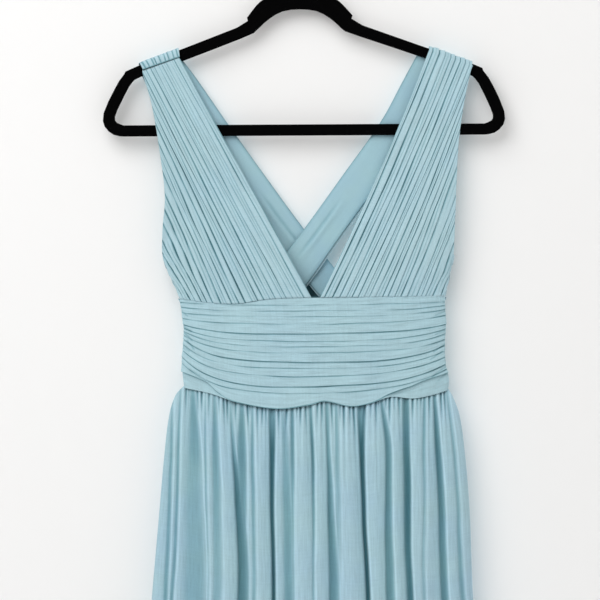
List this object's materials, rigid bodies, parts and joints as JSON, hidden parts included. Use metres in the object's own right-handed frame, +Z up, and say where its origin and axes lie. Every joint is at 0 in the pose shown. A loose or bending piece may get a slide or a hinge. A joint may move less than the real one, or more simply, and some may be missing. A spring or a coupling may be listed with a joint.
{
  "type": "maxi dress on a clothes hanger",
  "caption": "Sleeveless chiffon maxi dress with a pleated V neck, crossed back straps, a ruched waistband and a gathered skirt, on a slim flocked hanger.",
  "frame": {"origin": "seat of the hanger's hook, the point under its crook that rests on a rail", "axes": "+Z up, -Y out of the dress's front, +X along the hanger to the viewer's right"},
  "size_m": [0.4886, 0.0926, 1.6304],
  "materials": {
    "cloth": "matte crinkled chiffon",
    "lining": "smooth plain weave",
    "flock": "short black velvet flock",
    "hook_wire": "polished"
  },
  "bodies": {
    "root": {"bodice_front_left": "cloth", "bodice_front_right": "cloth", "back_strap_left": "cloth", "back_strap_right": "cloth", "back_strap_lining_left": "lining", "back_strap_lining_right": "lining", "waistband_front": "cloth", "waistband_back": "cloth", "skirt_front": "cloth", "skirt_back": "cloth", "hanger_frame": "flock", "hanger_hook": "hook_wire"}
  },
  "joints": []
}
